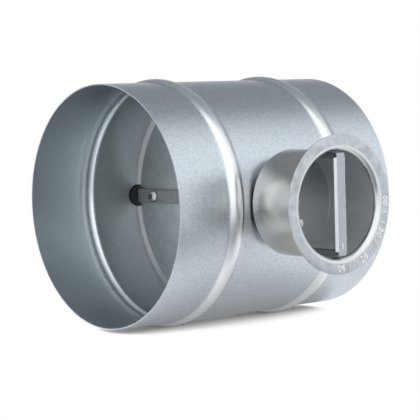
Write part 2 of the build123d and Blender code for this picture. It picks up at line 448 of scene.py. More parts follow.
@dataclass(frozen=True)
class Moulded:
    """Matt black moulding, in nylon or rubber."""

    name: str = "black_nylon"
    light: Colour = (0.028, 0.028, 0.03)
    dark: Colour = (0.012, 0.012, 0.013)
    smooth: float = 0.42
    rough: float = 0.6
    grain: float = 1400.0
    grain_depth: float = 0.03 * MM
    grain_strength: float = 0.4

    def material(self) -> bpy.types.Material:
        """Make the finish.

        Returns:
            A new material.
        """
        graph = Graph(self.name)
        grain = graph.noise(self.grain)
        graph.colour(grain, WIDE, self.dark, self.light)
        graph.polish(grain, WIDE, self.smooth, self.rough)
        graph.link(graph.bump(grain, self.grain_depth, self.grain_strength), "Normal")
        return graph.material


@dataclass
class Finishes:
    """Every finish of the damper, each made once."""

    sheet: bpy.types.Material = field(init=False)
    bore: bpy.types.Material = field(init=False)
    painted_shade_bore: bpy.types.Material = field(init=False)
    bead: bpy.types.Material = field(init=False)
    blade: bpy.types.Material = field(init=False)
    strap: bpy.types.Material = field(init=False)
    bar: bpy.types.Material = field(init=False)
    cut: bpy.types.Material = field(init=False)
    cup: bpy.types.Material = field(init=False)
    rim: bpy.types.Material = field(init=False)
    lip: bpy.types.Material = field(init=False)
    inside: bpy.types.Material = field(init=False)
    cup_floor_painted_shade: bpy.types.Material = field(init=False)
    marks_painted_highlight: bpy.types.Material = field(init=False)
    zinc: bpy.types.Material = field(init=False)
    nylon: bpy.types.Material = field(init=False)
    rubber: bpy.types.Material = field(init=False)

    def __post_init__(self) -> None:
        """Make the materials."""
        self.sheet = Galvanised().material()
        # A paler copy of the sheet: painted light on the bore near the mouths
        self.bore = Galvanised(
            name="galvanised_lit_bore",
            light=(0.80, 0.86, 0.90),
            dark=(0.73, 0.79, 0.83),
            smooth=0.29,
            rough=0.35,
        ).material()
        # A darker copy of the sheet: painted shade on the bore between the beads
        self.painted_shade_bore = Galvanised(
            name="galvanised_shaded_bore",
            light=(0.36, 0.385, 0.40),
            dark=(0.31, 0.335, 0.35),
            smooth=0.29,
            rough=0.35,
        ).material()
        # A paler copy of the sheet: a painted highlight on the beads and along the straps'
        # lower edges
        self.bead = Galvanised(
            name="galvanised_bead_highlight",
            light=(0.90, 0.95, 0.98),
            dark=(0.84, 0.89, 0.92),
            smooth=0.27,
            rough=0.32,
            grain_depth=0.001 * MM,
        ).material()
        self.blade = Galvanised(
            name="galvanised_blade",
            light=(0.84, 0.89, 0.91),
            dark=(0.71, 0.76, 0.78),
            smooth=0.42,
            rough=0.54,
            speckle=300.0,
        ).material()
        # A darker copy of the sheet: painted shade on the straps
        self.strap = Galvanised(
            name="galvanised_strap_painted_shade",
            light=(0.54, 0.57, 0.59),
            dark=(0.46, 0.49, 0.51),
            smooth=0.64,
            rough=0.74,
            speckle=300.0,
        ).material()
        self.bar = Galvanised(
            name="galvanised_bar",
            light=(0.49, 0.55, 0.59),
            dark=(0.41, 0.46, 0.50),
            smooth=0.30,
            rough=0.38,
        ).material()
        # A near-black copy of the sheet: partly the real cut edge of the blade, partly painted
        # shade in the gap beside it, along the straps' upper edges and in the screw recesses
        self.cut = Galvanised(
            name="cut_edge_and_painted_shade",
            light=(0.16, 0.165, 0.17),
            dark=(0.10, 0.105, 0.11),
            smooth=0.45,
            rough=0.6,
        ).material()
        self.cup = DrawnSteel().material()
        self.rim = DrawnSteel(
            name="cup_rim",
            light=(0.65, 0.695, 0.73),
            dark=(0.45, 0.495, 0.535),
            smooth=0.30,
            rough=0.44,
            lines=260.0,
            stretch=(1.0, 1.0, 1.0),
            line_depth=0.02 * MM,
        ).material()
        # A paler copy of the cup steel: a painted highlight on the lip, the cup rivets, the
        # handle's wings and the pointer pip, and painted light on the rim's underside
        self.lip = DrawnSteel(
            name="cup_painted_light",
            light=(0.75, 0.785, 0.81),
            dark=(0.69, 0.725, 0.75),
            smooth=0.20,
            rough=0.28,
        ).material()
        # A paler copy of the cup steel: painted light on the cup's inner wall
        self.inside = DrawnSteel(
            name="cup_lit_inside",
            light=(0.87, 0.89, 0.90),
            dark=(0.81, 0.83, 0.84),
            smooth=0.52,
            rough=0.58,
            line_depth=0.001 * MM,
        ).material()
        # A darker copy of the cup steel: painted shade on the cup's floor and the foot of its
        # inner corner
        self.cup_floor_painted_shade = DrawnSteel(
            name="cup_floor_painted_shade",
            light=(0.245, 0.26, 0.27),
            dark=(0.215, 0.23, 0.24),
            smooth=0.28,
            rough=0.32,
            line_depth=0.001 * MM,
        ).material()
        # A near-white copy of the cup steel: a painted highlight on the raised scale marks
        self.marks_painted_highlight = DrawnSteel(
            name="scale_painted_highlight",
            light=(0.94, 0.95, 0.96),
            dark=(0.90, 0.91, 0.92),
            smooth=0.28,
            rough=0.34,
        ).material()
        self.zinc = Zinc().material()
        self.nylon = Moulded().material()
        self.rubber = Moulded(
            name="black_rubber",
            light=(0.035, 0.035, 0.038),
            smooth=0.6,
            rough=0.75,
        ).material()


def arc(centre: Point, radius: float, start: float, end: float, steps: int) -> list[Point]:
    """Points of a circular arc.

    Args:
        centre: The arc's centre.
        radius: Its radius.
        start: The first point's angle in degrees.
        end: The last point's angle in degrees.
        steps: The number of segments.

    Returns:
        The points, both ends included.
    """
    turns = [math.radians(start + (end - start) * i / steps) for i in range(steps + 1)]
    return [
        (centre[0] + radius * math.cos(a), centre[1] + radius * math.sin(a)) for a in turns
    ]


def spaced(start: float, end: float, step: float) -> list[float]:
    """Evenly spaced places from start to end, about a step apart.

    Args:
        start: The first place.
        end: The last place.
        step: The wanted distance.

    Returns:
        The places, both ends included.
    """
    count = max(1, round(abs(end - start) / step))
    return [start + (end - start) * i / count for i in range(count + 1)]


def dome(foot: float, rise: float, radius: float, steps: int) -> list[Point]:
    """The outline of a flattened round head, from its rim to its top.

    Args:
        foot: The level of its rim.
        rise: How far past that level its top lies.
        radius: The rim's radius.
        steps: The number of segments.

    Returns:
        The points.
    """
    return [(foot + rise * x, radius * y) for x, y in arc((0, 0), 1.0, 90, 0, steps)]


def finish_mesh(
    bm: bmesh.types.BMesh, name: str, *materials: bpy.types.Material
) -> bpy.types.Object:
    """Turn a bmesh into an object at the origin, shaded smooth with sharp edges.

    Args:
        bm: The mesh, which is freed.
        name: The object's name.
        *materials: Its materials. Every face takes the first until it is given another.

    Returns:
        The object.
    """
    bmesh.ops.remove_doubles(bm, verts=bm.verts, dist=MERGE_DISTANCE)
    bmesh.ops.recalc_face_normals(bm, faces=bm.faces)
    mesh = bpy.data.meshes.new(name)
    bm.to_mesh(mesh)
    bm.free()
    for material in materials:
        mesh.materials.append(material)
    mesh.shade_smooth()
    mesh.set_sharp_from_angle(angle=SHARP_ANGLE)
    piece = bpy.data.objects.new(name, mesh)
    bpy.context.scene.collection.objects.link(piece)
    return piece


def spun(
    bm: bmesh.types.BMesh,
    points: list[Point],
    centre: Vector,
    axis: Vector,
    out: Vector,
    steps: int,
    closed: bool = True,
) -> list[bmesh.types.BMVert]:
    """Spin a profile a full turn about an axis.

    Args:
        bm: The mesh that takes the shape.
        points: The profile, each the place along the axis and the radius.
        centre: A point on the axis, where the place along it is 0.
        axis: The axis.
        out: A direction square to the axis, for the profile to lie in.
        steps: The number of steps round.
        closed: Whether the profile's last point joins its first.

    Returns:
        The new vertices.
    """
    before = set(bm.verts)
    ring = [bm.verts.new(centre + axis * along + out * radius) for along, radius in points]
    edges = [bm.edges.new(pair) for pair in zip(ring, ring[1:])]
    if closed:
        edges.append(bm.edges.new((ring[-1], ring[0])))
    bmesh.ops.spin(
        bm,
        geom=ring + edges,
        cent=centre,
        axis=axis,
        angle=FULL_TURN,
        steps=steps,
        use_merge=True,
        use_duplicate=False,
    )
    made = [v for v in bm.verts if v not in before]
    bmesh.ops.remove_doubles(bm, verts=made, dist=MERGE_DISTANCE)
    return [v for v in bm.verts if v not in before]


def pull(
    bm: bmesh.types.BMesh, faces: list[bmesh.types.BMFace], step: Vector
) -> list[bmesh.types.BMVert]:
    """Pull some faces out into a solid, which keeps them as its foot.

    Args:
        bm: The mesh.
        faces: The faces.
        step: How far, and which way.

    Returns:
        The vertices of the solid's far end.
    """
    made = bmesh.ops.extrude_face_region(bm, geom=faces, use_keep_orig=True)["geom"]
    verts = [v for v in made if isinstance(v, bmesh.types.BMVert)]
    bmesh.ops.translate(bm, vec=step, verts=verts)
    return verts


def round_off(
    bm: bmesh.types.BMesh,
    edges: list[bmesh.types.BMEdge],
    radius: float,
    segments: int = 2,
) -> None:
    """Round some edges off.

    Args:
        bm: The mesh.
        edges: The edges.
        radius: How far from each edge the rounding starts.
        segments: The number of faces across it.
    """
    bmesh.ops.bevel(
        bm,
        geom=edges,
        offset=radius,
        segments=segments,
        profile=0.5,
        affect="EDGES",
        material=-1,
    )


def edges_among(
    bm: bmesh.types.BMesh, verts: list[bmesh.types.BMVert]
) -> list[bmesh.types.BMEdge]:
    """The edges that join the given vertices to each other.

    Args:
        bm: The mesh.
        verts: The vertices.

    Returns:
        The edges.
    """
    chosen = set(verts)
    return [e for e in bm.edges if all(v in chosen for v in e.verts)]


def folds(bm: bmesh.types.BMesh) -> list[bmesh.types.BMEdge]:
    """The edges of a mesh where two faces meet sharply."""
    return [e for e in bm.edges if e.is_manifold and e.calc_face_angle(0) > SHARP_ANGLE]


def slab(
    bm: bmesh.types.BMesh, low: Vector, high: Vector, radius: float, segments: int = 2
) -> None:
    """Add a box between two corners, with its edges rounded.

    Args:
        bm: The mesh that takes the shape.
        low: The lowest corner.
        high: The highest corner.
        radius: The radius of its edges.
        segments: The segments of each rounded edge.
    """
    made = bmesh.ops.create_cube(bm, size=1.0)["verts"]
    bmesh.ops.scale(bm, vec=high - low, verts=made)
    bmesh.ops.translate(bm, vec=(low + high) / 2, verts=made)
    round_off(bm, list({e for v in made for e in v.link_edges}), radius, segments)


def dress(piece: bpy.types.Object, body: Body, slot: Slot, *nodes: str) -> None:
    """Attach a piece to the body it rides on and hide the nodes it stands for.

    Args:
        piece: The piece.
        body: The body that carries it.
        slot: The record's material slot; not used.
        *nodes: The CAD nodes that it replaces.
    """
    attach(piece, body.value)
    if nodes:
        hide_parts(*nodes)
    log.info("%s on %s, %d vertices", piece.name, body.value, len(piece.data.vertices))


@dataclass
class Places:
    """Sizes and places that several pieces share, most of them read from the frame."""

    screw_offset: float = 59.0 * MM
    length: float = field(init=False)
    radius: float = field(init=False)
    crest: float = field(init=False)
    seat: float = field(init=False)
    gasket_radius: float = field(init=False)
    shaft: Vector = field(init=False)

    def __post_init__(self) -> None:
        """Read the casing's box, the spigot's radius and the gasket's place."""
        low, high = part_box("casing")
        self.length = high.x - low.x
        self.shaft = Vector(((low.x + high.x) / 2, 0, 0))
        self.crest = high.z
        low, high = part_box("seat_gasket")
        self.seat = -high.y
        self.gasket_radius = high.x - self.shaft.x

    def read_radius(self, record: dict) -> None:
        """Take the duct's outside radius from the inlet's mount.

        Args:
            record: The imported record.
        """
        self.radius = record["mounts"][0]["dims"]["r_mm"] * MM


@dataclass
class Casing:
    """The beaded tube with the raised seat of the cup."""

    places: Places
    finishes: Finishes
    sheet: float = 0.7 * MM
    bead_offset: float = 46.0 * MM
    crown_radius: float = 8.7 * MM
    root_radius: float = 2.5 * MM
    bead_steps: int = 16
    seat_inset: float = 0.2 * MM
    seat_slope: float = 2.05
    seat_reach: float = 1.5
    seat_round: float = 1.2 * MM
    seat_fillet: float = 2.5 * MM
    # How far from the shaft the bore takes painted shade; beyond it the bore takes painted
    # light
    shaded_bore_reach: float = 39.0 * MM
    # How far from each bead's middle the tube takes the bead's painted highlight
    bead_highlight_reach: float = 5.0 * MM
    turns: int = 420
    end_spacing: float = 5.0 * MM
    outer_spacing: float = 1.5 * MM
    inner_spacing: float = 2.25 * MM

    def bead(self, radius: float, middle: float) -> list[Point]:
        """The outline of one bead: two root arcs and a crown.

        Args:
            radius: The tube's radius beside the bead.
            middle: The bead's place along the duct.

        Returns:
            The outline's points, from the inlet side to the outlet side.
        """
        height = self.places.crest - self.places.radius
        both = self.crown_radius + self.root_radius
        tilt = math.acos(1 - height / both)
        half = both * math.sin(tilt)
        lean = math.degrees(tilt)
        third = self.bead_steps // 4
        root_level = radius + self.root_radius
        crown_level = radius + height - self.crown_radius
        rise = arc((middle - half, root_level), self.root_radius, -90, -90 + lean, third)
        crown = arc(
            (middle, crown_level), self.crown_radius, 90 + lean, 90 - lean, 2 * third
        )
        fall = arc((middle + half, root_level), self.root_radius, -90 - lean, -90, third)
        return rise + crown[1:-1] + fall

    def outline(self, radius: float, fine: float) -> list[Point]:
        """One wall of the tube from mouth to mouth.

        Args:
            radius: The wall's radius.
            fine: The spacing of its points between the beads.

        Returns:
            The wall's points along the duct.
        """
        end = self.places.length
        middle = end / 2
        first = self.bead(radius, middle - self.bead_offset)
        second = self.bead(radius, middle + self.bead_offset)
        inlet = [(x, radius) for x in spaced(0, first[0][0], self.end_spacing)[:-1]]
        between = [(x, radius) for x in spaced(first[-1][0], second[0][0], fine)[1:-1]]
        outlet = [(x, radius) for x in spaced(second[-1][0], end, self.end_spacing)[1:]]
        return inlet + first + between + second + outlet

    def press_seat(self, verts: list[bmesh.types.BMVert]) -> None:
        """Press the cup's round seat out of the wall, with a soft edge.

        Args:
            verts: The tube's vertices, on both walls.
        """
        seat_radius = self.places.gasket_radius + self.seat_inset
        reach = seat_radius * self.seat_reach
        split = self.places.radius - self.sheet / 2
        for v in verts:
            # How far the vertex is past the seat's edge, and the level of the seat there
            across = v.co.x - self.places.shaft.x
            if v.co.y > 0 or abs(across) > reach or abs(v.co.z) > reach:
                continue
            inner = math.hypot(v.co.y, v.co.z) < split
            face = self.places.seat - (self.sheet if inner else 0)
            past = math.hypot(across, v.co.z) - seat_radius
            past += self.sheet / 2 if inner else 0
            soft = (past + math.hypot(past, self.seat_round)) / 2
            flat = face - self.seat_slope * soft
            # The higher of the seat and the tube, with a fillet where they meet
            tube = -v.co.y
            gap = max(self.seat_fillet - abs(flat - tube), 0) / self.seat_fillet
            out = max(flat, tube) + gap * gap * self.seat_fillet / 4
            v.co.y = -min(out, face)

    def build(self) -> None:
        """Build the tube, with painted highlights on its beads, painted light on its bore near
        the mouths and painted shade on its bore between the beads.
        """
        own = self.finishes
        outside = self.outline(self.places.radius, self.outer_spacing)
        inside = self.outline(self.places.radius - self.sheet, self.inner_spacing)
        bm = bmesh.new()
        verts = spun(bm, outside + inside[::-1], Vector(), ALONG, UP, self.turns)
        self.press_seat(verts)
        piece = finish_mesh(bm, "casing_tube", own.sheet, own.bore, own.painted_shade_bore, own.bead)
        for face in piece.data.polygons:
            along = abs(face.center.x - self.places.shaft.x)
            # Faces near a bead take its painted highlight
            if abs(along - self.bead_offset) < self.bead_highlight_reach:
                face.material_index = TubeFinish.BEAD_HIGHLIGHT
            # Inward faces: painted shade between the beads, painted light near the mouths
            elif face.normal.y * face.center.y + face.normal.z * face.center.z < 0:
                shaded_bore_face = along < self.shaded_bore_reach
                face.material_index = TubeFinish.SHADED_BORE if shaded_bore_face else TubeFinish.LIT_BORE
        dress(piece, Body.CASING, Slot.SHEET, "casing")


@dataclass
class Cup:
    """The drawn cup, its scale, its gasket and its rivets."""

    places: Places
    finishes: Finishes
    radius: float = 34.4 * MM
    wall: float = 0.8 * MM
    corner: float = 1.0 * MM
    inner_corner: float = 0.4 * MM
    lip: float = 3.8 * MM
    edge: float = 0.25 * MM
    edge_steps: int = 3
    bore: float = 5.2 * MM
    turns: int = 256
    arc_steps: int = 8
    # How far towards the duct a face of the rim looks to count as its underside, which takes
    # the paler finish as painted light
    underside: float = 0.5
    tick_step: int = 10
    number_step: int = 30
    last_angle: int = 90
    tick_length: float = 4.2 * MM
    tick_width: float = 0.7 * MM
    tick_height: float = 0.25 * MM
    tick_round: float = 0.28 * MM
    tick_edge: float = 1.6 * MM
    mark_height: float = 0.4 * MM
    digit_height: float = 4.4 * MM
    # The height of a digit, as a share of the font's size
    digit_share: float = 0.7
    digit_squeeze: float = 0.8
    digit_thinning: float = 0.12 * MM
    digit_core: float = 0.08 * MM
    digit_round: float = 0.32 * MM
    digit_gap: float = 1.9 * MM
    rivet_head: float = 3.0 * MM
    rivet_rise: float = 0.8 * MM
    rivet_shank: float = 1.5 * MM
    rivet_tail: float = 2.7 * MM
    rivet_circle: float = 15.6 * MM
    rivet_angle: float = 64.0
    rivet_turns: int = 24

    def __post_init__(self) -> None:
        """Read the cup's levels from the frame."""
        low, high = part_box("handle_cup")
        self.base = -high.y
        self.face = -low.y - self.tick_height
        self.rim = (high.x - low.x) / 2

    def outline(self) -> list[Point]:
        """The closed section of the cup, its wall and its turned-out rim.

        Returns:
            Points of the distance from the duct's axis and the radius.
        """
        radius = self.radius
        inner = radius - self.wall
        floor = self.base + self.wall
        back = self.face - self.wall
        under = self.lip - self.wall
        corner, bend, edge = self.corner, self.inner_corner, self.edge
        steps = self.arc_steps
        outer_corner = arc((self.base + corner, radius - corner), corner, 180, 90, steps)
        under_lip = arc((back - under, radius + under), under, -90, 0, steps)
        low_edge = arc((back + edge, self.rim - edge), edge, 180, 90, self.edge_steps)
        high_edge = arc((self.face - edge, self.rim - edge), edge, 90, 0, self.edge_steps)
        lip = arc((self.face - self.lip, inner + self.lip), self.lip, 0, -90, steps)
        inner_corner = arc((floor + bend, inner - bend), bend, 90, 180, steps)
        outside = [(self.base, self.bore)] + outer_corner + under_lip + low_edge
        return outside + high_edge + lip + inner_corner + [(floor, self.bore)]

    def build_shell(self) -> None:
        """Spin the cup and give its rim its own finish, its lip and the rim's underside a paler
        finish as painted highlight, its inner wall a paler one as painted light and its floor a
        darker one as painted shade.
        """
        own = self.finishes
        bm = bmesh.new()
        spun(bm, self.outline(), self.places.shaft, CUPWARDS, ALONG, self.turns)
        piece = finish_mesh(
            bm, "handle_cup_shell", own.cup, own.rim, own.lip, own.inside, own.cup_floor_painted_shade
        )
        rim_start = self.radius + self.lip - self.wall
        lip_level = self.face - self.lip
        wall_middle = self.radius - self.wall / 2
        floor_middle = self.base + self.wall / 2
        bend_middle = self.base + self.wall + self.inner_corner / 2
        for face in piece.data.polygons:
            centre = face.center - self.places.shaft
            out = math.hypot(centre.x, centre.z)
            level = -centre.y
            # The rim's underside and the lip take the paler finish as painted light
            if out > rim_start:
                under = face.normal.y >= self.underside
                face.material_index = CupFinish.PAINTED_LIGHT if under else CupFinish.RIM
            elif level > lip_level and face.normal.y < 0:
                face.material_index = CupFinish.PAINTED_LIGHT
            # The inner wall takes painted light; the floor and the foot of the inner corner
            # take painted shade
            elif out < wall_middle and level > floor_middle:
                flat = level < bend_middle
                face.material_index = CupFinish.SHADED_FLOOR if flat else CupFinish.LIT_INSIDE
        dress(piece, Body.CASING, Slot.CUP, "handle_cup")

    def tick(self, bm: bmesh.types.BMesh, turn: Matrix) -> None:
        """Add one raised tick of the scale.

        Args:
            bm: The mesh that takes it.
            turn: The turn that brings it to its angle.
        """
        outer = self.rim - self.tick_edge
        half = self.tick_width / 2
        before = set(bm.verts)
        slab(
            bm,
            Vector((outer - self.tick_length, -self.face - self.mark_height, -half)),
            Vector((outer, -self.face + self.mark_height, half)),
            self.tick_round,
        )
        made = [v for v in bm.verts if v not in before]
        bmesh.ops.transform(bm, matrix=turn, verts=made)

    def digit(self, bm: bmesh.types.BMesh, character: str, place: Matrix) -> None:
        """Add one raised digit.

        Args:
            bm: The mesh that takes it.
            character: The digit.
            place: Where its middle goes, facing local +Z.
        """
        curve = bpy.data.curves.new("digit", "FONT")
        curve.body = character
        curve.size = self.digit_height / self.digit_share
        curve.align_x = "CENTER"
        curve.align_y = "CENTER"
        curve.offset = -self.digit_thinning
        curve.extrude = self.digit_core
        curve.bevel_depth = self.digit_round
        curve.bevel_resolution = 2
        curve.resolution_u = 6
        holder = bpy.data.objects.new("digit", curve)
        mesh = bpy.data.meshes.new_from_object(holder)
        middle = [sum(v.co[i] for v in mesh.vertices) / len(mesh.vertices) for i in (0, 1)]
        squeeze = Matrix.Diagonal((self.digit_squeeze, 1, 1, 1))
        centred = Matrix.Translation((-middle[0], -middle[1], 0))
        mesh.transform(place @ squeeze @ centred)
        bm.from_mesh(mesh)
        bpy.data.objects.remove(holder)
        bpy.data.curves.remove(curve)
        bpy.data.meshes.remove(mesh)

    def build_scale(self) -> None:
        """Build the scale: ticks, and numbers with a digit on each side of their tick."""
        bm = bmesh.new()
        centre = Matrix.Translation(self.places.shaft)
        middle = self.rim - self.tick_edge - self.tick_length / 2
        stand = Matrix(
            ((0, 1, 0, middle), (0, 0, -1, -self.face), (-1, 0, 0, 0), (0, 0, 0, 1))
        )
        for angle in range(0, self.last_angle + 1, self.tick_step):
            turn = math.radians(angle)
            self.tick(bm, centre @ Matrix.Rotation(turn, 4, "Y"))
            if angle % self.number_step:
                continue
            for character, side in ((str(angle // 10), -1), ("0", 1)):
                lean = turn + side * self.digit_gap / middle
                self.digit(bm, character, centre @ Matrix.Rotation(lean, 4, "Y") @ stand)
        # The marks take the near-white finish as a painted highlight
        piece = finish_mesh(bm, "scale_marks", self.finishes.marks_painted_highlight)
        dress(piece, Body.CASING, Slot.CUP)

    def build_gasket(self) -> None:
        """Build the thin gasket under the cup."""
        low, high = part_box("seat_gasket")
        round_edge = (high.y - low.y) / 2
        edge = self.places.gasket_radius - round_edge
        rim = arc((-high.y + round_edge, edge), round_edge, 180, 0, self.arc_steps)
        points = [(-high.y, self.bore)] + rim + [(-low.y, self.bore)]
        bm = bmesh.new()
        spun(bm, points, self.places.shaft, CUPWARDS, ALONG, self.turns)
        piece = finish_mesh(bm, "cup_gasket", self.finishes.rubber)
        dress(piece, Body.CASING, Slot.RUBBER, "seat_gasket")

    def build_rivets(self) -> None:
        """Build the four rivets that hold the cup."""
        low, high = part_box("cup_rivets")
        inner, outer = -high.y, -low.y
        head = outer - self.rivet_rise
        tail = inner + self.rivet_rise
        points = [(inner, 0), (inner, self.rivet_tail), (tail, self.rivet_head)]
        points += [(tail, self.rivet_shank), (head, self.rivet_shank)]
        points += dome(head, self.rivet_rise, self.rivet_head, self.arc_steps)
        angle = math.radians(self.rivet_angle)
        across = self.rivet_circle * math.cos(angle)
        rise = self.rivet_circle * math.sin(angle)
        bm = bmesh.new()
        for x in (-across, across):
            for z in (-rise, rise):
                place = self.places.shaft + Vector((x, 0, z))
                spun(bm, points, place, CUPWARDS, ALONG, self.rivet_turns, closed=False)
        # The rivets take the paler finish as a painted highlight
        piece = finish_mesh(bm, "cup_rivet_set", self.finishes.lip)
        dress(piece, Body.CASING, Slot.FASTENER, "cup_rivets")

    def build(self) -> None:
        """Build everything that belongs to the cup."""
        self.build_shell()
        self.build_scale()
        self.build_gasket()
        self.build_rivets()


@dataclass
class Bearings:
    """Both bushes, both pivots, the clip and the friction washer."""

    places: Places
    finishes: Finishes
    stub: float = 3.5 * MM
    clearance: float = 0.05 * MM
    barrel: float = 5.2 * MM
    near_flange: float = 1.1 * MM
    far_flange: float = 1.5 * MM
    disc: float = 1.0 * MM
    strap_end_gap: float = 0.05 * MM
    tongue_width: float = 10.0 * MM
    tongue_steps: int = 16
    clip_groove: float = 0.5 * MM
    soft: float = 0.25 * MM
    turns: int = 64

    def ring(
        self, name: str, material: bpy.types.Material, points: list[Point], side: Side
    ) -> bpy.types.Object:
        """Spin a closed section about the shaft.

        Args:
            name: The piece's name.
            material: Its finish.
            points: The section, as distance from the duct's axis and radius.
            side: The end of the shaft.

        Returns:
            The piece.
        """
        bm = bmesh.new()
        spun(bm, points, self.places.shaft, side.outwards, ALONG, self.turns)
        return finish_mesh(bm, name, material)

    def build_bush(self, side: Side, node: str, thick: float) -> None:
        """Build the bush at one end of the shaft.

        Args:
            side: The end of the shaft.
            node: The CAD node that it replaces.
            thick: The thickness of its flange.
        """
        low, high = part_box(node)
        bore = self.stub + self.clearance
        flange = (high.x - low.x) / 2
        if side is Side.NEAR:
            start, end = -high.y, -low.y
            points = [(start, bore), (start, flange - self.soft)]
            points += [(start + self.soft, flange), (start + thick, flange)]
            points += [(start + thick, self.barrel), (end, self.barrel), (end, bore)]
        else:
            start, end = low.y, high.y
            points = [(start, bore), (start, self.barrel), (end - thick, self.barrel)]
            points += [(end - thick, flange), (end - self.soft, flange)]
            points += [(end, flange - self.soft), (end, bore)]
        piece = self.ring(f"{node}_body", self.finishes.nylon, points, side)
        dress(piece, Body.CASING, Slot.NYLON, node)

    def tongue(self, bm: bmesh.types.BMesh, side: Side, nose: float) -> None:
        """Add the tongue that lies on the back strap, rounded about its screw.

        Args:
            bm: The mesh that takes it.
            side: The end of the shaft.
            nose: The disc's inner face, as a distance from the duct's axis.
        """
        washer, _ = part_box("strap_washers")
        _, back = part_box("back_strap")
        half = self.tongue_width / 2
        root = nose + self.soft
        outline = arc((self.places.screw_offset, 0), half, 90, 270, self.tongue_steps)
        outline += [(root, -half), (root, half)]
        verts = [bm.verts.new((back.x, side.value * along, z)) for along, z in outline]
        top = pull(bm, [bm.faces.new(verts)], ALONG * (washer.x - back.x))
        round_off(bm, edges_among(bm, top), self.soft)

    def build_pivot(self, side: Side, node: str) -> None:
        """Build a pivot: its disc, its stub and the tongue behind the back strap.

        Args:
            side: The end of the shaft.
            node: The CAD node that it replaces.
        """
        low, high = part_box(node)
        end = -low.y if side is Side.NEAR else high.y
        radius = high.z
        _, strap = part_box("front_strap")
        nose = strap.y + self.strap_end_gap
        face = nose + self.disc
        points = [(nose, 0), (nose, radius - self.soft), (nose + self.soft, radius)]
        points += [(face - self.soft, radius), (face, radius - self.soft)]
        points += [(face, self.stub), (end - self.soft, self.stub)]
        points += [(end, self.stub - self.soft), (end, 0)]
        bm = bmesh.new()
        spun(bm, points, self.places.shaft, side.outwards, ALONG, self.turns, closed=False)
        self.tongue(bm, side, nose)
        piece = finish_mesh(bm, f"{node}_body", self.finishes.nylon)
        dress(piece, Body.DAMPER, Slot.NYLON, node)

    def build_ring(self, side: Side, node: str, inner: float) -> None:
        """Build a plain metal ring on the shaft.

        Args:
            side: The end of the shaft.
            node: The CAD node that it replaces.
            inner: The radius of its hole.
        """
        low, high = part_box(node)
        outer = (high.x - low.x) / 2
        start, end = sorted((side.value * low.y, side.value * high.y))
        points = [(start, inner), (start, outer), (end, outer), (end, inner)]
        piece = self.ring(f"{node}_ring", self.finishes.zinc, points, side)
        dress(piece, Body.DAMPER, Slot.FASTENER, node)

    def build(self) -> None:
        """Build every bearing piece."""
        self.build_bush(Side.NEAR, "near_bush", self.near_flange)
        self.build_bush(Side.FAR, "far_bush", self.far_flange)
        self.build_pivot(Side.NEAR, "near_pivot")
        self.build_pivot(Side.FAR, "far_pivot")
        self.build_ring(Side.FAR, "pivot_clip", self.stub - self.clip_groove)
        self.build_ring(Side.NEAR, "friction_washer", self.stub + self.clearance)


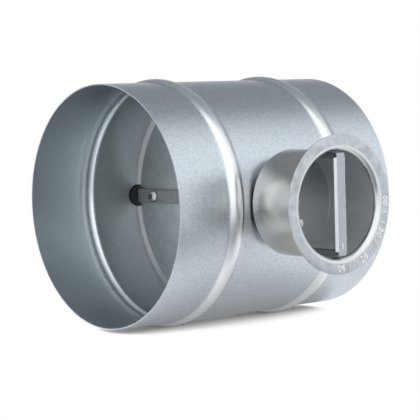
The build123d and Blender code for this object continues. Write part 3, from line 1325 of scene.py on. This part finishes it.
@dataclass
class Blade:
    """The blade between its straps, and what fastens them."""

    places: Places
    finishes: Finishes
    edge: float = 0.2 * MM
    # How far along the duct a face of the disc looks to count as flat
    flat: float = 0.9
    turns: int = 240
    strap_edge: float = 0.5 * MM
    strap_segments: int = 3
    # How far up or down a face of a strap looks to count as its edge
    strap_side: float = 0.4
    screw_radius: float = 2.0 * MM
    head_radius: float = 4.4 * MM
    head_under: float = 3.9 * MM
    head_height: float = 3.0 * MM
    head_wall: float = 0.8 * MM
    head_steps: int = 10
    chamfer: float = 0.3 * MM
    fastener_turns: int = 48
    recess_width: float = 1.3 * MM
    recess_length: float = 5.6 * MM
    recess_depth: float = 1.8 * MM
    recess_taper: float = 0.55

    def across_duct(self, x: float, y: float = 0.0) -> Matrix:
        """The place of a flat shape that lies across the duct, local Z pointing along it.

        Args:
            x: The place along the duct.
            y: The place along the shaft.

        Returns:
            The place.
        """
        return Matrix.Translation((x, y, 0)) @ Matrix.Rotation(math.pi / 2, 4, "Y")

    def build_disc(self) -> None:
        """Build the disc, with its cut edge near-black: partly the real cut edge, partly
        painted shade of the gap beside it.
        """
        low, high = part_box("blade")
        bm = bmesh.new()
        bmesh.ops.create_circle(
            bm,
            cap_ends=True,
            radius=high.z,
            segments=self.turns,
            matrix=self.across_duct(low.x),
        )
        pull(bm, list(bm.faces), ALONG * (high.x - low.x))
        bmesh.ops.recalc_face_normals(bm, faces=bm.faces)
        round_off(bm, folds(bm), self.edge)
        piece = finish_mesh(bm, "blade_disc", self.finishes.blade, self.finishes.cut)
        for face in piece.data.polygons:
            if abs(face.normal.x) < self.flat:
                face.material_index = SECOND_FINISH
        dress(piece, Body.DAMPER, Slot.SHEET, "blade")

    def build_straps(self) -> None:
        """Build both straps in a darker finish as painted shade, with a painted shadow along
        their upper edges and a painted highlight along the lower.
        """
        own = self.finishes
        for node in ("front_strap", "back_strap"):
            low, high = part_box(node)
            bm = bmesh.new()
            slab(bm, low, high, self.strap_edge, self.strap_segments)
            piece = finish_mesh(bm, f"{node}_bar", own.strap, own.cut, own.bead)
            # Upper faces take painted shade, lower faces a painted highlight
            for face in piece.data.polygons:
                if face.normal.z > self.strap_side:
                    face.material_index = StrapFinish.SHADED_UPPER_EDGE
                elif face.normal.z < -self.strap_side:
                    face.material_index = StrapFinish.HIGHLIT_LOWER_EDGE
            dress(piece, Body.DAMPER, Slot.SHEET, node)

    def cut_recess(self, piece: bpy.types.Object, place: Matrix) -> None:
        """Cut a tapered cross recess into a screw's head, in its last finish.

        Args:
            piece: The screw.
            place: The recess's place: its mouth lies at 0 and local +Z runs into the head.
        """
        half, arm = self.recess_length / 2, self.recess_width / 2
        corner = [(half, -arm), (half, arm), (arm, arm)]
        bm = bmesh.new()
        verts = []
        for quarter in range(4):
            turn = Matrix.Rotation(quarter * math.pi / 2, 4, "Z")
            verts += [
                bm.verts.new(turn @ Vector((x, y, -self.recess_depth))) for x, y in corner
            ]
        foot = pull(bm, [bm.faces.new(verts)], UP * 2 * self.recess_depth)
        bmesh.ops.scale(bm, vec=Vector((self.recess_taper, self.recess_taper, 1)), verts=foot)
        bmesh.ops.recalc_face_normals(bm, faces=bm.faces)
        bm.transform(place)
        mesh = bpy.data.meshes.new("recess")
        bm.to_mesh(mesh)
        bm.free()
        for finish in piece.data.materials:
            mesh.materials.append(finish)
        for face in mesh.polygons:
            face.material_index = len(mesh.materials) - 1
        cutter = bpy.data.objects.new("recess", mesh)
        bpy.context.scene.collection.objects.link(cutter)
        cut = piece.modifiers.new("recess", "BOOLEAN")
        cut.operation = "DIFFERENCE"
        cut.solver = "EXACT"
        cut.object = cutter
        graph = bpy.context.evaluated_depsgraph_get()
        solid = bpy.data.meshes.new_from_object(piece.evaluated_get(graph))
        piece.modifiers.clear()
        piece.data = solid
        solid.set_sharp_from_angle(angle=SHARP_ANGLE)
        bpy.data.objects.remove(cutter)

    def build_screws(self) -> None:
        """Build both screws with their domed heads and cross recesses, the recesses in a
        near-black finish as painted shade.
        """
        low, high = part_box("strap_screws")
        under = low.x + self.head_height
        wall = under - self.head_wall
        points = [(high.x, 0), (high.x, self.screw_radius - self.chamfer)]
        points += [(high.x - self.chamfer, self.screw_radius), (under, self.screw_radius)]
        points += [(under, self.head_under), (under - self.chamfer, self.head_radius)]
        points += dome(wall, low.x - wall, self.head_radius, self.head_steps)
        rows = (-self.places.screw_offset, self.places.screw_offset)
        bm = bmesh.new()
        for row in rows:
            place = Vector((0, row, 0))
            spun(bm, points, place, ALONG, UP, self.fastener_turns, closed=False)
        piece = finish_mesh(bm, "strap_screw_pair", self.finishes.zinc, self.finishes.cut)
        # The recesses take the near-black finish as painted shade
        for row in rows:
            slant = Matrix.Rotation(math.pi / 4, 4, "Z")
            self.cut_recess(piece, self.across_duct(low.x, row) @ slant)
        dress(piece, Body.DAMPER, Slot.FASTENER, "strap_screws")

    def build_nuts(self) -> None:
        """Build the nuts."""
        low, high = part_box("strap_nuts")
        flats = (high.z - low.z) / 2
        bm = bmesh.new()
        for row in (-self.places.screw_offset, self.places.screw_offset):
            before = set(bm.verts)
            bmesh.ops.create_circle(
                bm,
                cap_ends=True,
                radius=flats / math.cos(math.pi / 6),
                segments=6,
                matrix=self.across_duct(low.x, row),
            )
            foot = [f for f in bm.faces if all(v not in before for v in f.verts)]
            pull(bm, foot, ALONG * (high.x - low.x))
        bmesh.ops.recalc_face_normals(bm, faces=bm.faces)
        round_off(bm, list(bm.edges), self.chamfer)
        piece = finish_mesh(bm, "strap_nut_pair", self.finishes.zinc)
        dress(piece, Body.DAMPER, Slot.FASTENER, "strap_nuts")

    def build_washers(self) -> None:
        """Build the washers under the nuts."""
        low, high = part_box("strap_washers")
        outer = (high.z - low.z) / 2
        points = [(low.x, self.screw_radius), (low.x, outer)]
        points += [(high.x, outer), (high.x, self.screw_radius)]
        bm = bmesh.new()
        for row in (-self.places.screw_offset, self.places.screw_offset):
            spun(bm, points, Vector((0, row, 0)), ALONG, UP, self.fastener_turns)
        piece = finish_mesh(bm, "strap_washer_pair", self.finishes.zinc)
        dress(piece, Body.DAMPER, Slot.FASTENER, "strap_washers")

    def build(self) -> None:
        """Build the blade with its straps and fasteners."""
        self.build_disc()
        self.build_straps()
        self.build_screws()
        self.build_nuts()
        self.build_washers()


@dataclass
class Handle:
    """The channel handle, its base strip and its fixings."""

    places: Places
    finishes: Finishes
    sheet: float = 1.0 * MM
    rail: float = 3.6 * MM
    rail_start: float = 3.4 * MM
    notch: float = 3.0 * MM
    bend: float = 1.1 * MM
    bend_segments: int = 4
    wing_bend: float = 0.35 * MM
    wing_drop: float = 1.05 * MM
    # How far sideways a face of the bar looks to count as its wing
    wing_lean: float = 0.2
    foot: float = 10.0 * MM
    pointer_rise: float = 0.5 * MM
    pointer_sunk: float = 0.05 * MM
    pointer_round: float = 0.35 * MM
    pointer_segments: int = 3
    pointer_steps: int = 12
    pointer_length: float = 4.6 * MM
    pointer_width: float = 1.6 * MM
    pointer_inset: float = 6.2 * MM
    base_edge: float = 0.3 * MM
    rivet_head: float = 2.4 * MM
    rivet_rise: float = 0.8 * MM
    rivet_shank: float = 1.5 * MM
    rivet_steps: int = 8
    rivet_turns: int = 24
    hub_shank: float = 1.6 * MM
    hub_rise: float = 1.0 * MM
    hub_edge: float = 0.3 * MM
    hub_turns: int = 48

    def grow(
        self, bm: bmesh.types.BMesh, edges: list[bmesh.types.BMEdge], step: Vector
    ) -> list[bmesh.types.BMEdge]:
        """Pull a strip of sheet out of some edges.

        Args:
            bm: The mesh.
            edges: The edges to pull from.
            step: How far, and which way.

        Returns:
            The strip's far edges.
        """
        made = bmesh.ops.extrude_edge_only(bm, edges=edges)["geom"]
        verts = [v for v in made if isinstance(v, bmesh.types.BMVert)]
        bmesh.ops.translate(bm, vec=step, verts=verts)
        return edges_among(bm, verts)

    def rises(self, edge: bmesh.types.BMEdge, least: float) -> bool:
        """Whether an edge climbs by more than the given height."""
        return abs(edge.verts[0].co.z - edge.verts[1].co.z) > least

    def grow_leg(
        self, bm: bmesh.types.BMesh, start: bmesh.types.BMEdge, sign: int, drop: float
    ) -> None:
        """Grow a leg from an end of the bar, with its rails and its foot.

        Args:
            bm: The mesh.
            start: The bar's end.
            sign: 1 for the upper leg, -1 for the lower.
            drop: The handle's height.
        """
        rail_end = drop - self.notch - self.sheet
        corner = self.grow(bm, [start], UP * sign * self.notch)
        upper = self.grow(bm, corner, -CUPWARDS * self.rail_start)
        before = set(bm.edges)
        lower = self.grow(bm, upper, -CUPWARDS * (rail_end - self.rail_start))
        rails = [
            e
            for e in bm.edges
            if e not in before and abs(e.verts[0].co.y - e.verts[1].co.y) > MM
        ]
        self.grow(bm, rails, UP * -sign * self.rail)
        heel = self.grow(bm, lower, -CUPWARDS * (drop - rail_end))
        self.grow(bm, heel, UP * -sign * self.foot)

    def build_bridge(self) -> None:
        """Bend the handle from one strip: bar, wings, legs, rails and feet."""
        low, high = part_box("handle_bridge")
        base_low, base_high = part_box("handle_base")
        centre = self.places.shaft.x
        half = (base_high.x - base_low.x) / 2
        wing = (high.x - low.x) / 2 - half
        face = low.y + self.pointer_rise
        span = 2 * (high.z - self.notch)
        bm = bmesh.new()
        start = [bm.verts.new((centre + x, face, -span / 2)) for x in (-half, half)]
        first = bm.edges.new(start)
        last = self.grow(bm, [first], UP * span)[0]
        for edge in [e for e in bm.edges if self.rises(e, span / 2)]:
            way = 1 if edge.verts[0].co.x > centre else -1
            self.grow(bm, [edge], Vector((way * wing, self.wing_drop, 0)))
        for edge, sign in ((last, 1), (first, -1)):
            self.grow_leg(bm, edge, sign, high.y - face)
        bmesh.ops.recalc_face_normals(bm, faces=bm.faces)
        bends = folds(bm)
        creases = [e for e in bends if self.rises(e, span / 2)]
        corners = [e for e in bends if e not in creases]
        round_off(bm, corners, self.bend, self.bend_segments)
        round_off(bm, creases, self.wing_bend, self.bend_segments)
        bmesh.ops.recalc_face_normals(bm, faces=bm.faces)
        # The sheet thickens away from its normals, so the bar's face has to look outwards
        bar = [f for f in bm.faces if f.calc_center_median().y < face + MM]
        if sum(f.normal.y for f in bar) > 0:
            bmesh.ops.reverse_faces(bm, faces=list(bm.faces))
        bmesh.ops.solidify(bm, geom=list(bm.faces), thickness=self.sheet)
        piece = finish_mesh(bm, "handle_channel", self.finishes.bar, self.finishes.lip)
        # The wings' outer faces take the paler finish as a painted highlight
        for face in piece.data.polygons:
            if face.normal.y < 0 and abs(face.normal.x) > self.wing_lean:
                face.material_index = SECOND_FINISH
        dress(piece, Body.DAMPER, Slot.SHEET, "handle_bridge")

    def build_pointer(self) -> None:
        """Build the pressed pip that points at the scale."""
        low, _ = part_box("handle_bridge")
        foot = low.y + self.pointer_rise + self.pointer_sunk
        place = Vector((self.places.shaft.x, foot, low.z + self.pointer_inset))
        half = self.pointer_width / 2
        reach = self.pointer_length / 2 - half
        steps = self.pointer_steps
        outline = arc((0, reach), half, 0, 180, steps) + arc((0, -reach), half, 180, 360, steps)
        bm = bmesh.new()
        verts = [bm.verts.new(place + Vector((x, 0, z))) for x, z in outline]
        top = pull(bm, [bm.faces.new(verts)], CUPWARDS * (foot - low.y))
        round_off(bm, edges_among(bm, top), self.pointer_round, self.pointer_segments)
        # The pip takes the paler finish as a painted highlight
        piece = finish_mesh(bm, "pointer_pip", self.finishes.lip)
        dress(piece, Body.DAMPER, Slot.SHEET)

    def build_base(self) -> None:
        """Build the strip that joins the handle's feet."""
        low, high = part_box("handle_base")
        bm = bmesh.new()
        slab(bm, low, high, self.base_edge)
        piece = finish_mesh(bm, "handle_base_strip", self.finishes.bar)
        dress(piece, Body.DAMPER, Slot.SHEET, "handle_base")

    def build_rivets(self) -> None:
        """Build the rivet of each foot."""
        low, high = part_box("handle_rivets")
        head = -low.y - self.rivet_rise
        points = [(-high.y, 0), (-high.y, self.rivet_shank), (head, self.rivet_shank)]
        points += dome(head, self.rivet_rise, self.rivet_head, self.rivet_steps)
        place = high.z - self.rivet_head
        bm = bmesh.new()
        for level in (-place, place):
            centre = self.places.shaft + UP * level
            spun(bm, points, centre, CUPWARDS, ALONG, self.rivet_turns, closed=False)
        piece = finish_mesh(bm, "handle_rivet_pair", self.finishes.zinc)
        dress(piece, Body.DAMPER, Slot.FASTENER, "handle_rivets")

    def build_hub_screw(self) -> None:
        """Build the screw that holds the handle on the shaft."""
        low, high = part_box("hub_screw")
        radius = (high.x - low.x) / 2
        top = -low.y
        head = top - self.hub_rise
        points = [(-high.y, 0), (-high.y, self.hub_shank), (head, self.hub_shank)]
        points += [(head, radius), (top - self.hub_edge, radius)]
        points += [(top, radius - self.hub_edge), (top, 0)]
        bm = bmesh.new()
        shaft = self.places.shaft
        spun(bm, points, shaft, CUPWARDS, ALONG, self.hub_turns, closed=False)
        piece = finish_mesh(bm, "hub_screw_body", self.finishes.zinc)
        dress(piece, Body.DAMPER, Slot.FASTENER, "hub_screw")

    def build(self) -> None:
        """Build the handle."""
        self.build_bridge()
        self.build_pointer()
        self.build_base()
        self.build_rivets()
        self.build_hub_screw()


class Rule(Enum):
    """How two values become one."""

    GREATEST = "MAXIMUM"
    PRODUCT = "MULTIPLY"


def combined(
    tree: bpy.types.NodeTree,
    rule: Rule,
    first: bpy.types.NodeSocket,
    second: bpy.types.NodeSocket,
) -> bpy.types.NodeSocket:
    """Make one value of two.

    Args:
        tree: The nodes that take it.
        rule: How it is made.
        first: One value.
        second: The other value.

    Returns:
        The value socket.
    """
    node = tree.nodes.new("ShaderNodeMath")
    node.operation = rule.value
    tree.links.new(first, node.inputs[0])
    tree.links.new(second, node.inputs[1])
    return node.outputs[0]


def ray_kinds(tree: bpy.types.NodeTree) -> tuple[bpy.types.NodeSocket, bpy.types.NodeSocket]:
    """Tell the rays that a background is shown to.

    Args:
        tree: The nodes that take the sockets.

    Returns:
        1 for a ray from the camera, and 1 for a ray off metal or through glass.
    """
    path = tree.nodes.new("ShaderNodeLightPath")
    glossy, passing = path.outputs["Is Glossy Ray"], path.outputs["Is Transmission Ray"]
    return path.outputs["Is Camera Ray"], combined(tree, Rule.GREATEST, glossy, passing)


@dataclass(frozen=True)
class Panel:
    """A soft round panel of light, far off in one direction.

    It is of one colour up to the inner angle from that direction, in degrees, and ends at
    the outer one.
    """

    name: str
    towards: Place
    inner: float
    outer: float
    colour: Colour


@dataclass
class Studio:
    """Floor, lamp, world and camera."""

    places: Places
    floor_size: float = 24.0
    floor_gap: float = 0.3 * MM
    floor_tint: Colour = (0.86, 0.86, 0.86)
    floor_roughness: float = 0.9
    shade_reach: float = 0.12
    shade_samples: int = 32
    seen_span: Point = (0.0, 0.15)
    seen_glow: Point = (0.02, 1.0)
    mirrored_span: Point = (0.0, 0.5)
    mirrored_glow: Point = (0.3, 1.0)
    # A painted shadow in the floor's mirror images: its centre, the distances over which it
    # fades, and the glow inside and outside it
    pool_centre: Place = (-0.06, -0.275, 0.0)
    pool_span: Point = (0.075, 0.205)
    pool_glow: Point = (0.3, 0.95)
    lamp_place: Place = (-0.5, -1.6, 1.9)
    lamp_size: float = 1.2
    lamp_power: float = 5.0
    backdrop: Place = (0.65, 0.76, -0.02)
    backdrop_inner: float = 8.0
    backdrop_outer: float = 24.0
    ambient: Colour = (0.33, 0.345, 0.36)
    panels: tuple[Panel, ...] = (
        Panel("overhead", (0.0, 0.45, 0.89), 25, 60, (0.27, 0.285, 0.30)),
        Panel("left_bank", (-0.95, 0.1, 0.1), 25, 55, (0.58, 0.60, 0.62)),
        Panel("right_bank", (0.647, -0.640, 0.415), 10, 48, (1.0, 1.01, 1.02)),
        Panel("front_bank", (-0.35, -0.80, 0.50), 44, 55, (1.24, 1.24, 1.23)),
    )
    eye: Vector = field(default_factory=lambda: Vector((-774.4, -909.0, 75.5)) * MM)
    yaw: float = 40.409
    pitch: float = 3.993
    roll: float = -1.568
    sensor: float = 36.0
    focal_pixels: float = 1756.2
    picture: float = 420.0
    nearest: float = 0.01

    def build_camera(self) -> None:
        """Place the camera where the photograph was taken from."""
        yaw, pitch, roll = (math.radians(a) for a in (self.yaw, self.pitch, self.roll))
        ahead = Vector(
            (
                math.sin(yaw) * math.cos(pitch),
                math.cos(yaw) * math.cos(pitch),
                -math.sin(pitch),
            )
        )
        level = Vector((math.cos(yaw), -math.sin(yaw), 0))
        above = level.cross(ahead)
        right = math.cos(roll) * level + math.sin(roll) * above
        up = -math.sin(roll) * level + math.cos(roll) * above
        turn = Matrix((right, up, -ahead)).transposed().to_4x4()
        data = bpy.data.cameras.new("camera")
        data.sensor_width = self.sensor
        data.lens = self.sensor * self.focal_pixels / self.picture
        data.clip_start = self.nearest
        camera = bpy.data.objects.new("camera", data)
        camera.matrix_world = Matrix.Translation(self.eye + self.places.shaft) @ turn
        bpy.context.scene.collection.objects.link(camera)
        bpy.context.scene.camera = camera

    def pool(self, graph: Graph) -> bpy.types.NodeSocket:
        """The floor's glow in mirror images, dimmer near a point in front of the damper as a
        painted shadow.

        Args:
            graph: The floor's material.

        Returns:
            The value socket.
        """
        apart = graph.tree.nodes.new("ShaderNodeVectorMath")
        apart.operation = "DISTANCE"
        apart.inputs[1].default_value = self.pool_centre
        graph.tree.links.new(graph.place, apart.inputs[0])
        value = graph.spread(apart.outputs["Value"], self.pool_span, self.pool_glow)
        value.node.interpolation_type = "SMOOTHSTEP"
        return value

    def floor_material(self) -> bpy.types.Material:
        """Make the floor's material: a glow in sight and in mirror images, plain for the rest.

        Returns:
            The material.
        """
        graph = Graph("floor_white")
        graph.set(Roughness=self.floor_roughness)
        graph.shader.inputs["Base Color"].default_value = (*self.floor_tint, 1)
        tree = graph.tree
        shade = tree.nodes.new("ShaderNodeAmbientOcclusion")
        shade.samples = self.shade_samples
        shade.inputs["Distance"].default_value = self.shade_reach
        open_sky = shade.outputs["AO"]
        in_sight, mirrored = ray_kinds(tree)
        dimmed = graph.spread(open_sky, self.mirrored_span, self.mirrored_glow)
        glow_mirrored = combined(tree, Rule.PRODUCT, self.pool(graph), dimmed)
        glow_seen = graph.spread(open_sky, self.seen_span, self.seen_glow)
        choice = tree.nodes.new("ShaderNodeMix")
        choice.data_type = "FLOAT"
        tree.links.new(in_sight, choice.inputs[0])
        values = [s for s in choice.inputs if s.type == "VALUE"]
        tree.links.new(glow_mirrored, values[1])
        tree.links.new(glow_seen, values[2])
        glow = tree.nodes.new("ShaderNodeEmission")
        tree.links.new(choice.outputs[0], glow.inputs["Strength"])
        mix = tree.nodes.new("ShaderNodeMixShader")
        tree.links.new(combined(tree, Rule.GREATEST, in_sight, mirrored), mix.inputs[0])
        tree.links.new(graph.shader.outputs[0], mix.inputs[1])
        tree.links.new(glow.outputs[0], mix.inputs[2])
        tree.links.new(mix.outputs[0], tree.nodes["Material Output"].inputs["Surface"])
        return graph.material

    def build_floor(self) -> None:
        """Lay a floor under the beads: white where it is seen, shaded by the damper."""
        bm = bmesh.new()
        bmesh.ops.create_grid(bm, x_segments=1, y_segments=1, size=self.floor_size / 2)
        mesh = bpy.data.meshes.new("floor")
        bm.to_mesh(mesh)
        bm.free()
        mesh.materials.append(self.floor_material())
        floor = bpy.data.objects.new("floor", mesh)
        floor.location = (self.places.shaft.x, 0, -self.places.crest - self.floor_gap)
        bpy.context.scene.collection.objects.link(floor)

    def build_lamp(self) -> None:
        """Hang a soft lamp for what isn't metal. It leaves no glint on metal."""
        data = bpy.data.lights.new("key", "AREA")
        data.shape = "SQUARE"
        data.size = self.lamp_size
        data.energy = self.lamp_power
        lamp = bpy.data.objects.new("key", data)
        here = Vector(self.lamp_place)
        lamp.location = here + self.places.shaft
        lamp.rotation_euler = (-here).to_track_quat("-Z", "Y").to_euler()
        lamp.visible_glossy = False
        bpy.context.scene.collection.objects.link(lamp)

    def facing(
        self, tree: bpy.types.NodeTree, towards: Place, inner: float, outer: float
    ) -> bpy.types.NodeSocket:
        """1 for directions near the given one, fading to 0.

        Args:
            tree: The world's nodes.
            towards: The direction.
            inner: The angle from it, in degrees, where the fading starts.
            outer: The angle where it ends.

        Returns:
            The value socket.
        """
        place = tree.nodes.new("ShaderNodeTexCoord").outputs["Generated"]
        dot = tree.nodes.new("ShaderNodeVectorMath")
        dot.operation = "DOT_PRODUCT"
        dot.inputs[1].default_value = Vector(towards).normalized()
        tree.links.new(place, dot.inputs[0])
        edge = tree.nodes.new("ShaderNodeMapRange")
        edge.interpolation_type = "SMOOTHSTEP"
        edge.inputs["From Min"].default_value = math.cos(math.radians(outer))
        edge.inputs["From Max"].default_value = math.cos(math.radians(inner))
        tree.links.new(dot.outputs["Value"], edge.inputs["Value"])
        return edge.outputs["Result"]

    def build_world(self) -> None:
        """Surround the damper with a studio of soft panels and a white backdrop."""
        world = bpy.data.worlds.new("studio")
        world.use_nodes = True
        tree = world.node_tree
        base = tree.nodes.new("ShaderNodeRGB")
        base.outputs[0].default_value = (*self.ambient, 1)
        colour = base.outputs[0]
        for panel in self.panels:
            mix = tree.nodes.new("ShaderNodeMix")
            mix.label = panel.name
            mix.data_type = "RGBA"
            sockets = [s for s in mix.inputs if s.type == "RGBA"]
            sockets[1].default_value = (*panel.colour, 1)
            near = self.facing(tree, panel.towards, panel.inner, panel.outer)
            tree.links.new(near, mix.inputs[0])
            tree.links.new(colour, sockets[0])
            colour = [s for s in mix.outputs if s.type == "RGBA"][0]
        background = tree.nodes["Background"]
        tree.links.new(colour, background.inputs["Color"])
        white = tree.nodes.new("ShaderNodeBackground")
        white.inputs["Color"].default_value = (1, 1, 1, 1)
        in_sight, mirrored = ray_kinds(tree)
        behind = self.facing(tree, self.backdrop, self.backdrop_inner, self.backdrop_outer)
        mirrored_behind = combined(tree, Rule.PRODUCT, mirrored, behind)
        mix = tree.nodes.new("ShaderNodeMixShader")
        tree.links.new(combined(tree, Rule.GREATEST, in_sight, mirrored_behind), mix.inputs[0])
        tree.links.new(background.outputs[0], mix.inputs[1])
        tree.links.new(white.outputs[0], mix.inputs[2])
        tree.links.new(mix.outputs[0], tree.nodes["World Output"].inputs["Surface"])
        bpy.context.scene.world = world

    def build(self) -> None:
        """Set up the studio."""
        bpy.context.scene.view_settings.view_transform = "Standard"
        self.build_camera()
        self.build_floor()
        self.build_lamp()
        self.build_world()


def main() -> None:
    """Dress the damper and light it."""
    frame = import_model()
    places = Places()
    places.read_radius(frame["record"])
    finishes = Finishes()
    for assembly in (Casing, Cup, Bearings, Blade, Handle):
        assembly(places, finishes).build()
    Studio(places).build()
    bpy.context.view_layer.update()


if __name__ == "__main__":
    main()
